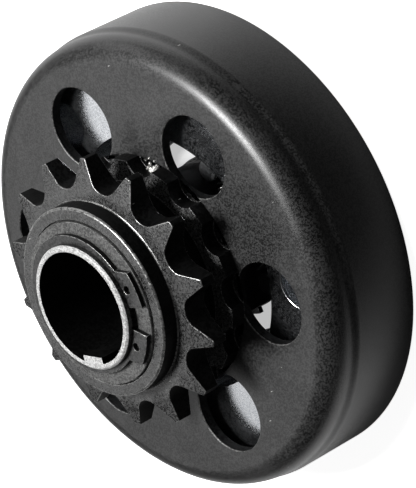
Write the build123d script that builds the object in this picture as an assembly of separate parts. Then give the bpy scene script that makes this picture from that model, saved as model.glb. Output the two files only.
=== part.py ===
"""Centrifugal clutch with a chain sprocket, for a 25.4 mm keyed engine crankshaft.

Units are millimetres. +Z runs along the shaft, from the drum's open rim to the nose.
The origin lies on the shaft axis, in the plane of the drum's open rim.
"""
from build123d import *
import math
import os

# Shaft, bearing and play
shaft_radius = 12.7
sleeve_wall = 1.6
hub_body_step = 1.2
hub_flange_step = 2.1
bushing_wall = 2.0
running_clearance = 0.05
fixed_clearance = 0.02
axial_play = 0.05
loose_clearance = 0.3

# Drum: a deep drawn steel cup with a machined friction wall
drum_depth = 25.0
drum_sheet = 2.4
drum_bore_radius = 50.2
drum_front_wall = 2.2
drum_skirt_wall = 2.8
drum_skirt_length = 17.4
drum_skirt_blend = 1.2
drum_corner_radius = 5.0
drum_rim_chamfer = 0.4
drum_hole_count = 6
drum_hole_radius = 9.35
drum_hole_land = 1.3
drum_hole_chamfer = 0.25

# Sprocket
chain_pitch = 12.7
tooth_count = 14
roller_seat_radius = 4.0
tooth_tip_height = 2.56
tooth_tip_width = 1.5
tooth_flank_bulge = 0.16
tooth_width = 6.0
tooth_bevel = 1.15
tooth_bevel_reach = 5.7
neck_step = 0.45
neck_length = 4.9
toothed_flange_seat = 3.1
toothed_flange_height = 3.75
spigot_root_gap = 0.54
spigot_lip = 0.3
boss_wall = 2.75
boss_height = 4.25
boss_root_radius = 0.45
boss_chamfer = 0.35

# Nose end: thrust washer and retaining ring
front_washer_overlap = 2.35
front_washer_thickness = 1.5
front_washer_recess = 1.05
ring_thickness = 1.2
ring_groove_depth = 0.95
ring_mean_outer_margin = 2.6
ring_eccentricity = 1.0
ring_lug_height = 5.05
ring_lug_half_angle = 35.5
ring_gap_half_angle = 10.2
ring_lug_taper_angle = 9.0
ring_hole_radius = 0.95
ring_hole_height = 2.3
ring_hole_half_angle = 25.0
front_ring_gap_angle = 151.2
rear_ring_gap_angle = 90.0
nose_length = 1.6
nose_chamfer = 0.45

# Integral key in the relieved front part of the bore
key_width = 6.0
key_reach = 1.55
key_length = 12.25
key_angle = 67.0
bore_relief = 0.2
key_root = 0.15
bore_chamfer = 0.4

# Driver and the rear end of the hub
inner_washer_overlap = 4.65
inner_washer_thickness = 1.3
hub_flange_thickness = 3.9
hub_flat_depth = 1.3
hub_setback = 0.4
rear_tail = 0.65
rear_groove_depth = 1.0
rear_washer_overlap = 2.4
rear_washer_thickness = 1.0
arm_half_width = 7.3
arm_end_setback = 0.5
arm_front_setback = 8.0
arm_fillet = 2.5
tongue_reach = 2.5
tongue_thickness = 2.0
tongue_centre_height = 7.5
tongue_start_inset = 1.6
tongue_end_setback = 1.0

# Shoes and linings, drawn as they stand when they press on the drum
shoe_travel = 0.9
shoe_front_gap = 2.6
shoe_setback = 3.0
shoe_edge_chamfer = 0.5
web_washer_gap = 6.1
web_reach = 6.4
web_thickness = 3.5
tongue_slot_clearance = 0.3
tongue_slot_spare = 0.6
shoe_hole_outer_land = 2.25
shoe_hole_inner_land = 4.05
shoe_hole_angles = (106.1, 153.3)
shoe_hole_chamfer = 0.4
lining_thickness = 2.9
lining_inset = 0.5
lining_end_angle = 16.0

# Lining rivets
rivet_angles = (24.7, 59.7, 94.7, 129.7)
rivet_radius = 1.5
rivet_head_radius = 2.6
rivet_head_depth = 1.1
rivet_head_land = 0.15
rivet_sink = 0.8
rivet_bite = 3.5

# Tension springs and the pins that hold them
spring_radius = 2.5
wire_radius = 0.45
spring_coils = 15
pin_end_inset = 6.0
pin_web_inset = 3.2
pin_radius = 1.6
pin_shoulder_radius = 2.3
pin_head_radius = 2.4
pin_head_thickness = 1.0
pin_neck_length = 3.2
spring_arm_clearance = 0.7

# Heights that follow from the sizes above
drum_inner_face = drum_depth - drum_sheet
tooth_back = drum_depth + toothed_flange_height + neck_length
tooth_front = tooth_back + tooth_width
boss_face = tooth_front + boss_height
front_washer_back = boss_face - front_washer_recess + axial_play
front_ring_back = front_washer_back + front_washer_thickness + axial_play
front_ring_front = front_ring_back + ring_thickness
nose_face = front_ring_front + nose_length
spigot_end = drum_inner_face - spigot_lip
inner_washer_front = spigot_end - axial_play
hub_flange_front = inner_washer_front - inner_washer_thickness - axial_play
hub_flange_back = hub_flange_front - hub_flange_thickness
rear_ring_back = hub_setback + rear_tail
rear_ring_front = rear_ring_back + ring_thickness
rear_washer_front = rear_ring_front + axial_play + rear_washer_thickness
shoe_front = drum_inner_face - shoe_front_gap
web_front = shoe_setback + web_thickness
arm_front = shoe_front - arm_front_setback
spring_height = arm_front + spring_arm_clearance + spring_radius

# Radii that follow from the sizes above
sleeve_radius = shaft_radius + sleeve_wall
hub_body_radius = sleeve_radius + hub_body_step
hub_flange_radius = hub_body_radius + hub_flange_step
hub_flat_distance = hub_body_radius - hub_flat_depth
bushing_outer_radius = sleeve_radius + running_clearance + bushing_wall
front_washer_radius = bushing_outer_radius + front_washer_overlap
inner_washer_radius = bushing_outer_radius + inner_washer_overlap
rear_washer_radius = hub_body_radius + rear_washer_overlap
sprocket_bore_radius = bushing_outer_radius + fixed_clearance
drum_front_radius = drum_bore_radius + drum_front_wall
drum_skirt_radius = drum_bore_radius + drum_skirt_wall
pitch_radius = chain_pitch / 2 / math.sin(math.pi / tooth_count)
tooth_tip_radius = pitch_radius + tooth_tip_height
tooth_bevel_start_radius = tooth_tip_radius - tooth_bevel_reach
spigot_radius = pitch_radius - roller_seat_radius - spigot_root_gap
toothed_flange_radius = spigot_radius + toothed_flange_seat
drum_hole_circle_radius = spigot_radius + drum_hole_land + drum_hole_radius
washer_recess_radius = front_washer_radius + loose_clearance
boss_radius = washer_recess_radius + boss_wall
neck_radius = boss_radius + neck_step
lining_outer_radius = drum_bore_radius - loose_clearance
shoe_outer_radius = lining_outer_radius - lining_thickness
web_inner_radius = rear_washer_radius + web_washer_gap
shoe_inner_radius = web_inner_radius + web_reach
shoe_hole_inner_edge = shoe_inner_radius + shoe_hole_inner_land
shoe_hole_outer_edge = shoe_outer_radius - shoe_hole_outer_land
shoe_hole_radius = (shoe_hole_outer_edge - shoe_hole_inner_edge) / 2
shoe_hole_circle_radius = shoe_hole_inner_edge + shoe_hole_radius
shoe_end = arm_half_width + loose_clearance + shoe_travel
pin_seat_height = shoe_end + pin_end_inset
pin_height = pin_seat_height - shoe_travel
spring_offset = math.sqrt((web_inner_radius + pin_web_inset) ** 2 - pin_seat_height ** 2)
arm_reach = shoe_outer_radius - arm_end_setback
tongue_start_radius = shoe_inner_radius + tongue_start_inset
tongue_end_radius = arm_reach - tongue_end_setback
front_groove_radius = sleeve_radius - ring_groove_depth
rear_groove_radius = hub_body_radius - rear_groove_depth


def polar(radius, degrees):
    """Return the x and y of a point given by its radius and direction."""
    angle = math.radians(degrees)
    return radius * math.cos(angle), radius * math.sin(angle)


def rod(radius, low, high):
    """Make a round rod on the shaft axis between two heights."""
    return extrude(Pos(0, 0, low) * Circle(radius), high - low)


def tube(outer, inner, low, high):
    """Make a plain round tube about the shaft axis between two heights."""
    return rod(outer, low, high) - rod(inner, low, high)


def turned(points):
    """Revolve a closed outline of (radius, height) points about the shaft axis."""
    outline = make_face(Polyline(*[(r, 0, z) for r, z in points], close=True))
    return revolve(outline, Axis.Z)


def block(x_span, y_span, z_span):
    """Make a box from its three pairs of limits."""
    sizes = [high - low for low, high in (x_span, y_span, z_span)]
    corner = (x_span[0], y_span[0], z_span[0])
    return Pos(*corner) * Box(*sizes, align=(Align.MIN, Align.MIN, Align.MIN))


def window(radius, chamfer, x, y, face):
    """Cutter for a round hole straight down from a face, with a chamfered edge."""
    hole = Pos(x, y, face) * Cylinder(radius, 2 * drum_depth)
    return hole + Pos(x, y, face) * Cone(radius, radius + 2 * chamfer, 2 * chamfer)


def drum():
    """Cup with a rounded front corner, a thicker skirt and six round windows."""
    inner_corner = drum_corner_radius - drum_front_wall
    blend_top = drum_skirt_length + drum_skirt_blend
    outer = Line((0, drum_depth), (drum_front_radius - drum_corner_radius, drum_depth))
    corner_end = (drum_front_radius, drum_depth - drum_corner_radius)
    corner = RadiusArc(outer @ 1, corner_end, drum_corner_radius)
    side = Polyline(
        corner @ 1,
        (drum_front_radius, blend_top),
        (drum_skirt_radius, drum_skirt_length),
        (drum_skirt_radius, drum_rim_chamfer),
        (drum_skirt_radius - drum_rim_chamfer, 0),
        (drum_bore_radius + drum_rim_chamfer, 0),
        (drum_bore_radius, drum_rim_chamfer),
        (drum_bore_radius, drum_inner_face - inner_corner),
    )
    inside = RadiusArc(side @ 1, (drum_bore_radius - inner_corner, drum_inner_face), -inner_corner)
    back = Polyline(inside @ 1, (0, drum_inner_face), (0, drum_depth))
    section = Plane.XZ * make_face(Curve() + [outer, corner, side, inside, back])
    cup = revolve(section, Axis.Z)
    cup -= Pos(0, 0, drum_depth) * Cylinder(spigot_radius + fixed_clearance, 4 * drum_sheet)
    for index in range(drum_hole_count):
        x, y = polar(drum_hole_circle_radius, 90 + index * 360 / drum_hole_count)
        cup -= window(drum_hole_radius, drum_hole_chamfer, x, y, drum_depth)
    return cup


def tooth_gap():
    """Outline of one roller gap, its seat centred on +X at the pitch radius."""
    tip_angle = math.pi / tooth_count - tooth_tip_width / 2 / tooth_tip_radius
    tip = Vector(tooth_tip_radius * math.cos(tip_angle), tooth_tip_radius * math.sin(tip_angle))
    seat = Vector(pitch_radius, 0)
    to_tip = tip - seat
    swing = math.acos(roller_seat_radius / to_tip.length)
    touch_angle = math.atan2(to_tip.Y, to_tip.X) + swing
    touch = seat + Vector(math.cos(touch_angle), math.sin(touch_angle)) * roller_seat_radius
    flank = tip - touch
    inward = Vector(flank.Y, -flank.X).normalized()
    middle = (tip + touch) * 0.5 + inward * tooth_flank_bulge
    outside = tip + flank.normalized() * roller_seat_radius
    seat_bottom = (pitch_radius - roller_seat_radius, 0)
    bottom = ThreePointArc((touch.X, touch.Y), seat_bottom, (touch.X, -touch.Y))
    lower = ThreePointArc((touch.X, -touch.Y), (middle.X, -middle.Y), (tip.X, -tip.Y))
    mouth = Polyline((tip.X, -tip.Y), (outside.X, -outside.Y), (outside.X, outside.Y), (tip.X, tip.Y))
    upper = ThreePointArc((tip.X, tip.Y), (middle.X, middle.Y), (touch.X, touch.Y))
    return make_face(Curve() + [bottom, lower, mouth, upper])


def sprocket():
    """One turned and hobbed piece: boss, teeth, chain neck, toothed flange and spigot."""
    body = turned([
        (sprocket_bore_radius, spigot_end),
        (spigot_radius, spigot_end),
        (spigot_radius, drum_depth),
        (toothed_flange_radius, drum_depth),
        (toothed_flange_radius, drum_depth + toothed_flange_height),
        (neck_radius, drum_depth + toothed_flange_height),
        (neck_radius, tooth_back),
        (tooth_bevel_start_radius, tooth_back),
        (tooth_tip_radius, tooth_back + tooth_bevel),
        (tooth_tip_radius, tooth_front - tooth_bevel),
        (tooth_bevel_start_radius, tooth_front),
        (boss_radius + boss_root_radius, tooth_front),
        (boss_radius, tooth_front + boss_root_radius),
        (boss_radius, boss_face - boss_chamfer),
        (boss_radius - boss_chamfer, boss_face),
        (washer_recess_radius, boss_face),
        (washer_recess_radius, boss_face - front_washer_recess),
        (sprocket_bore_radius, boss_face - front_washer_recess),
    ])
    gap = extrude(Pos(0, 0, drum_depth) * tooth_gap(), tooth_front - drum_depth + boss_chamfer)
    pitch_angle = 360 / tooth_count
    body -= [Rot(0, 0, 180 + index * pitch_angle) * gap for index in range(tooth_count)]
    return body


def sprocket_bushing():
    """Plain bearing sleeve pressed into the sprocket's bore."""
    bearing_radius = sleeve_radius + running_clearance
    return tube(bushing_outer_radius, bearing_radius, spigot_end, boss_face - front_washer_recess)


def retaining_ring(groove_radius, shaft, low, gap_angle):
    """External ring, widest opposite its gap, with two drilled lugs."""
    bore = groove_radius + fixed_clearance
    lug_radius = shaft + ring_lug_height - ring_groove_depth
    hole_circle = shaft + ring_hole_height - ring_groove_depth
    shift = Pos(-ring_eccentricity, 0)
    face = shift * Circle(bore + ring_mean_outer_margin)
    for side in (1, -1):
        foot = ring_lug_half_angle + ring_lug_taper_angle
        corners = [
            polar(bore, side * ring_gap_half_angle / 2),
            polar(lug_radius + 1, side * ring_gap_half_angle),
            polar(lug_radius + 1, side * ring_hole_half_angle),
            polar(lug_radius, side * ring_lug_half_angle),
            polar(bore + ring_mean_outer_margin / 2, side * foot),
        ]
        lug = make_face(Polyline(*corners, close=True))
        face += lug & Circle(lug_radius)
    face -= Circle(bore)
    gap_edge = 2 * lug_radius
    face -= make_face(Polyline(
        (0, 0),
        polar(gap_edge, ring_gap_half_angle),
        polar(gap_edge, -ring_gap_half_angle),
        close=True,
    ))
    for side in (1, -1):
        x, y = polar(hole_circle, side * ring_hole_half_angle)
        face -= Pos(x, y) * Circle(ring_hole_radius)
    return Rot(0, 0, gap_angle) * extrude(Pos(0, 0, low) * face, ring_thickness)


def front_retaining_ring():
    """Ring in the nose groove, which keeps the drum and sprocket on the hub."""
    return retaining_ring(front_groove_radius, sleeve_radius, front_ring_back, front_ring_gap_angle)


def rear_retaining_ring():
    """Ring in the rear groove, which keeps the driver on the hub."""
    return retaining_ring(rear_groove_radius, hub_body_radius, rear_ring_back, rear_ring_gap_angle)


def front_thrust_washer():
    """Washer between the retaining ring and the sprocket's recessed boss."""
    back = front_washer_back
    bore = sleeve_radius + 2 * running_clearance
    return tube(front_washer_radius, bore, back, back + front_washer_thickness)


def inner_thrust_washer():
    """Washer between the sprocket's spigot and the hub's flange."""
    back = inner_washer_front - inner_washer_thickness
    bore = sleeve_radius + 2 * running_clearance
    return tube(inner_washer_radius, bore, back, inner_washer_front)


def rear_washer():
    """Washer between the driver and the rear retaining ring."""
    back = rear_washer_front - rear_washer_thickness
    bore = hub_body_radius + 2 * running_clearance
    return tube(rear_washer_radius, bore, back, rear_washer_front)


def hub():
    """Crankshaft sleeve with two ring grooves, a flange, two driving flats and an integral key."""
    groove_width = ring_thickness + axial_play
    relief_radius = shaft_radius + bore_relief
    key_back = nose_face - key_length
    body = turned([
        (shaft_radius + bore_chamfer, hub_setback),
        (hub_body_radius - bore_chamfer, hub_setback),
        (hub_body_radius, hub_setback + bore_chamfer),
        (hub_body_radius, rear_ring_back - axial_play),
        (rear_groove_radius, rear_ring_back - axial_play),
        (rear_groove_radius, rear_ring_back + groove_width - axial_play),
        (hub_body_radius, rear_ring_back + groove_width - axial_play),
        (hub_body_radius, hub_flange_back),
        (hub_flange_radius, hub_flange_back),
        (hub_flange_radius, hub_flange_front),
        (sleeve_radius, hub_flange_front),
        (sleeve_radius, front_ring_back),
        (front_groove_radius, front_ring_back),
        (front_groove_radius, front_ring_back + groove_width),
        (sleeve_radius, front_ring_back + groove_width),
        (sleeve_radius, nose_face - nose_chamfer),
        (sleeve_radius - nose_chamfer, nose_face),
        (relief_radius, nose_face),
        (relief_radius, key_back),
        (shaft_radius, key_back),
        (shaft_radius, hub_setback + bore_chamfer),
    ])
    for side in (1, -1):
        near, far = sorted((side * hub_flat_distance, side * 2 * hub_body_radius))
        body -= block((-2 * hub_body_radius, 2 * hub_body_radius), (near, far), (0, hub_flange_back))
    key_side = key_width / 2
    key = block((shaft_radius - key_reach, sleeve_radius), (-key_side, key_side), (key_back, nose_face))
    key &= rod(relief_radius + key_root, 0, nose_face)
    return body + Rot(0, 0, key_angle) * key


def driver():
    """Two armed carrier that turns with the hub and pushes the ends of both shoes."""
    collar = rod(hub_flange_radius, rear_washer_front, hub_flange_back)
    reach = (-arm_reach, arm_reach)
    arms = block(reach, (-arm_half_width, arm_half_width), (rear_washer_front, arm_front))
    plan = collar + arms
    corners = [edge for edge in plan.edges().filter_by(Axis.Z) if is_arm_root(edge)]
    body = fillet(corners, arm_fillet)
    tongue_half = arm_half_width + tongue_reach
    tongue_low = tongue_centre_height - tongue_thickness / 2
    for side in (1, -1):
        x_span = sorted((side * tongue_start_radius, side * tongue_end_radius))
        body += block(x_span, (-tongue_half, tongue_half), (tongue_low, tongue_low + tongue_thickness))
    body &= rod(arm_reach, 0, drum_depth)
    bore_radius = hub_body_radius + fixed_clearance
    flat = hub_flat_distance + fixed_clearance
    bore = rod(bore_radius, 0, drum_depth)
    bore &= block((-bore_radius, bore_radius), (-flat, flat), (0, drum_depth))
    return body - bore


def is_arm_root(edge):
    """Tell whether an upright edge is where an arm's side meets the collar."""
    centre = edge.center()
    return abs(math.hypot(centre.X, centre.Y) - hub_flange_radius) < fixed_clearance


def shoe():
    """Sintered shoe: a thick rim with two windows, a thin rear web and slotted ends."""
    rim = turned([
        (shoe_inner_radius, shoe_setback),
        (shoe_outer_radius, shoe_setback),
        (shoe_outer_radius, shoe_front - shoe_edge_chamfer),
        (shoe_outer_radius - shoe_edge_chamfer, shoe_front),
        (shoe_inner_radius + shoe_edge_chamfer, shoe_front),
        (shoe_inner_radius, shoe_front - shoe_edge_chamfer),
        (shoe_inner_radius, web_front),
        (web_inner_radius, web_front),
        (web_inner_radius, shoe_setback),
    ])
    reach = 2 * shoe_outer_radius
    body = rim & block((-reach, reach), (shoe_end, reach), (0, shoe_front))
    slot_low = tongue_centre_height - tongue_thickness / 2 - tongue_slot_clearance
    slot_high = slot_low + tongue_thickness + 2 * tongue_slot_clearance
    slot_depth = shoe_end + tongue_reach + tongue_slot_spare
    body -= block((-reach, reach), (0, slot_depth), (slot_low, slot_high))
    for angle in shoe_hole_angles:
        x, y = polar(shoe_hole_circle_radius, angle)
        body -= window(shoe_hole_radius, shoe_hole_chamfer, x, y, shoe_front)
    pin_drill = Cylinder(pin_radius + fixed_clearance, 4 * web_thickness)
    for side in (1, -1):
        seat = pin_seat(side)
        body -= Pos(seat.X, seat.Y, shoe_setback) * pin_drill
    drill_start = shoe_outer_radius - rivet_bite
    drill = Plane.YZ.offset(drill_start) * Circle(rivet_radius + fixed_clearance)
    drill = extrude(drill, 2 * rivet_bite)
    for angle in rivet_angles:
        body -= Pos(0, 0, lining_middle()) * Rot(0, 0, angle) * drill
    return body


def lining_middle():
    """Return the height of the middle of a shoe's face."""
    return (shoe_setback + shoe_front) / 2


def lining():
    """Curved friction lining, countersunk for its rivets."""
    low = shoe_setback + lining_inset
    band = tube(lining_outer_radius, shoe_outer_radius + fixed_clearance, low, shoe_front - lining_inset)
    reach = 2 * drum_bore_radius
    fan = make_face(Polyline(
        (0, 0),
        polar(reach, lining_end_angle),
        (reach, reach),
        (-reach, reach),
        polar(reach, 180 - lining_end_angle),
        close=True,
    ))
    band &= extrude(fan, shoe_front)
    cutter = rivet_form(fixed_clearance, 2 * rivet_sink)
    for angle in rivet_angles:
        band -= Pos(0, 0, lining_middle()) * Rot(0, 0, angle) * cutter
    return band


def rivet_form(growth, land):
    """Shape of one countersunk rivet along +X, with a straight land above its cone."""
    cone_top = lining_outer_radius - rivet_sink - rivet_head_land
    shank = rivet_radius + growth
    head = rivet_head_radius + growth
    foot = shoe_outer_radius - rivet_bite
    outline = Polyline(
        (foot, 0),
        (foot, shank),
        (cone_top - rivet_head_depth, shank),
        (cone_top, head),
        (cone_top + land, head),
        (cone_top + land, 0),
        close=True,
    )
    return revolve(make_face(outline), Axis.X)


def lining_rivets():
    """Rivets of one lining, as a list of separate solids."""
    rivet = rivet_form(0, rivet_head_land)
    return [Pos(0, 0, lining_middle()) * Rot(0, 0, angle) * rivet for angle in rivet_angles]


def pin_seat(side):
    """Place of a spring pin on its shoe when the shoe presses on the drum."""
    return Vector(side * spring_offset, pin_seat_height)


def spring_pins():
    """Shouldered pins of one shoe, as a list of separate solids."""
    neck_low = spring_height - pin_neck_length / 2
    neck_high = spring_height + pin_neck_length / 2
    pin = turned([
        (0, shoe_setback),
        (pin_radius, shoe_setback),
        (pin_radius, web_front),
        (pin_shoulder_radius, web_front),
        (pin_shoulder_radius, neck_low),
        (pin_radius, neck_low),
        (pin_radius, neck_high),
        (pin_head_radius, neck_high),
        (pin_head_radius, neck_high + pin_head_thickness),
        (0, neck_high + pin_head_thickness),
    ])
    return [Pos(pin_seat(side).X, pin_seat(side).Y, 0) * pin for side in (1, -1)]


def spring(side):
    """Close wound tension spring over one arm, with a round hook on each pin."""
    hook_radius = pin_radius + loose_clearance + wire_radius
    half_body = pin_height - hook_radius - 2 * wire_radius - wire_radius
    coil_pitch = 2 * half_body / spring_coils
    mean = spring_radius - wire_radius
    start = (mean, -half_body)
    arcs = []
    for index in range(spring_coils):
        low = -half_body + index * coil_pitch
        bulge = (mean + wire_radius, low + coil_pitch / 2)
        arcs.append(ThreePointArc((mean, low), bulge, (mean, low + coil_pitch)))
    closing = Polyline((mean, half_body), (0, half_body), (0, -half_body), start)
    coil_body = revolve(make_face(Curve() + arcs + [closing]), Axis.Y)
    stem_length = pin_height - hook_radius
    stem = Rot(90, 0, 0) * Cylinder(wire_radius, 2 * stem_length)
    whole = coil_body + stem
    for end in (1, -1):
        whole += Pos(0, end * pin_height, 0) * Torus(hook_radius, wire_radius)
    return Pos(side * spring_offset, 0, spring_height) * whole


def retracted(shape):
    """Move a shoe's piece from the drum wall back to where the springs hold it."""
    return Pos(0, -shoe_travel, 0) * shape


def opposite(shape):
    """Turn a piece half round the shaft, for the second shoe."""
    return Rot(0, 0, 180) * shape


def write(name, shapes):
    """Write one node from a solid or a list of separate solids."""
    pieces = shapes if isinstance(shapes, list) else [shapes]
    solids = [solid for piece in pieces for solid in piece.solids()]
    shape = solids[0] if len(solids) == 1 else Compound(children=solids)
    export_step(shape, f"parts/{name}.step")


def main():
    """Build every node and write it to the parts folder."""
    os.makedirs("parts", exist_ok=True)
    write("drum", drum())
    write("sprocket", sprocket())
    write("sprocket_bushing", sprocket_bushing())
    write("hub", hub())
    write("front_thrust_washer", front_thrust_washer())
    write("front_retaining_ring", front_retaining_ring())
    write("inner_thrust_washer", inner_thrust_washer())
    write("driver", driver())
    write("rear_washer", rear_washer())
    write("rear_retaining_ring", rear_retaining_ring())
    shoe_pieces = {
        "shoe": [shoe()],
        "lining": [lining()],
        "lining_rivets": lining_rivets(),
        "spring_pins": spring_pins(),
    }
    for name, pieces in shoe_pieces.items():
        first = [retracted(piece) for piece in pieces]
        write(f"{name}_a", first)
        write(f"{name}_b", [opposite(piece) for piece in first])
    write("spring_right", spring(1))
    write("spring_left", spring(-1))


main()
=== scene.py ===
"""Looks of a centrifugal clutch with a chain sprocket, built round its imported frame.

Sizes in the classes are millimetres in the part's own frame: +Z runs along the shaft from the
drum's open rim to the nose, and the origin lies on the axis in the rim's plane.
"""
import logging
import math
from collections.abc import Callable, Iterable, Iterator
from contextlib import contextmanager
from dataclasses import dataclass, field
from enum import Enum

import bpy
from mathutils import Matrix, Vector


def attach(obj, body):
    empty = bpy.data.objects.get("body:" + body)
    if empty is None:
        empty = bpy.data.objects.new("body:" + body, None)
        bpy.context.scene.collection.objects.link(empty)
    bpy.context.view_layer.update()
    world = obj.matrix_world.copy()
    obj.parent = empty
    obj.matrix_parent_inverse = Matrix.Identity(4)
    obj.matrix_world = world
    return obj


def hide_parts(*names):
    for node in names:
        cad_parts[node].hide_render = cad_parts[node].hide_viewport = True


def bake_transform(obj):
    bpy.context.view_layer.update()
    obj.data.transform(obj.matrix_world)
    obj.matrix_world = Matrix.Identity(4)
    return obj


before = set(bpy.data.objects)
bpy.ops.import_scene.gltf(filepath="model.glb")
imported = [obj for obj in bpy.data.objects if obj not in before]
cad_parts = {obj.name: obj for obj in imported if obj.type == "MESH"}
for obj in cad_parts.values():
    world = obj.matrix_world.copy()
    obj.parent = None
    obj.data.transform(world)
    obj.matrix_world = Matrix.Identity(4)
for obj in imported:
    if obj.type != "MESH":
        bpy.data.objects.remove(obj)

MM = 0.001
LOG = logging.getLogger("clutch")
Point = tuple[float, float]
Span = tuple[float, float]
Place = tuple[float, float, float]
Colour = tuple[float, float, float]
Piece = bpy.types.Object
Node = bpy.types.Node
Socket = bpy.types.NodeSocket
# Limits of a face's place, and of its steepness, which is 0 for a flat one and 1 for an upright one
ANY: Span = (-math.inf, math.inf)
ROUNDED: Span = (0.05, 0.95)
SLOPED: Span = (0.15, 0.8)
STEEP: Span = (0.5, math.inf)
UPRIGHT: Span = (0.8, math.inf)


class Combine(Enum):
    """How a second solid acts on a piece."""

    CUT = "DIFFERENCE"
    FUSE = "UNION"
    KEEP = "INTERSECT"


class Body(Enum):
    """The moving bodies of the clutch, as the frame names them."""

    DRUM = "drum_body"
    HUB = "hub_body"
    SHOE_A = "shoe_a_body"
    SHOE_B = "shoe_b_body"


def polar(radius: float, degrees: float) -> Point:
    """Return x and y of a point given by its radius and direction."""
    angle = math.radians(degrees)
    return radius * math.cos(angle), radius * math.sin(angle)


def shift(x: float = 0.0, y: float = 0.0, z: float = 0.0) -> Matrix:
    """Return the matrix of a move in millimetres."""
    return Matrix.Translation((x * MM, y * MM, z * MM))


def spin(degrees: float, axis: str = "Z") -> Matrix:
    """Return the matrix of a turn about an axis."""
    return Matrix.Rotation(math.radians(degrees), 4, axis)


def arc(centre: Point, radius: float, start: float, end: float, steps: int) -> list[Point]:
    """Return points laid evenly on an arc between two directions in degrees, both ends included."""
    offsets = [polar(radius, start + (end - start) * index / steps) for index in range(steps + 1)]
    return [(centre[0] + x, centre[1] + y) for x, y in offsets]


def ring_section(inner: float, outer: float, height: Span, soft: float) -> list[Point]:
    """Lay the section of a flat ring or a sleeve, with a small chamfer on each edge.

    Args:
        inner: The inner radius.
        outer: The outer radius.
        height: The heights of its two faces.
        soft: The size of the chamfers.

    Returns:
        Radius and height of each corner.
    """
    low, high = height
    return [
        (inner + soft, low), (outer - soft, low), (outer, low + soft), (outer, high - soft),
        (outer - soft, high), (inner + soft, high), (inner, high - soft), (inner, low + soft),
    ]


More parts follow.
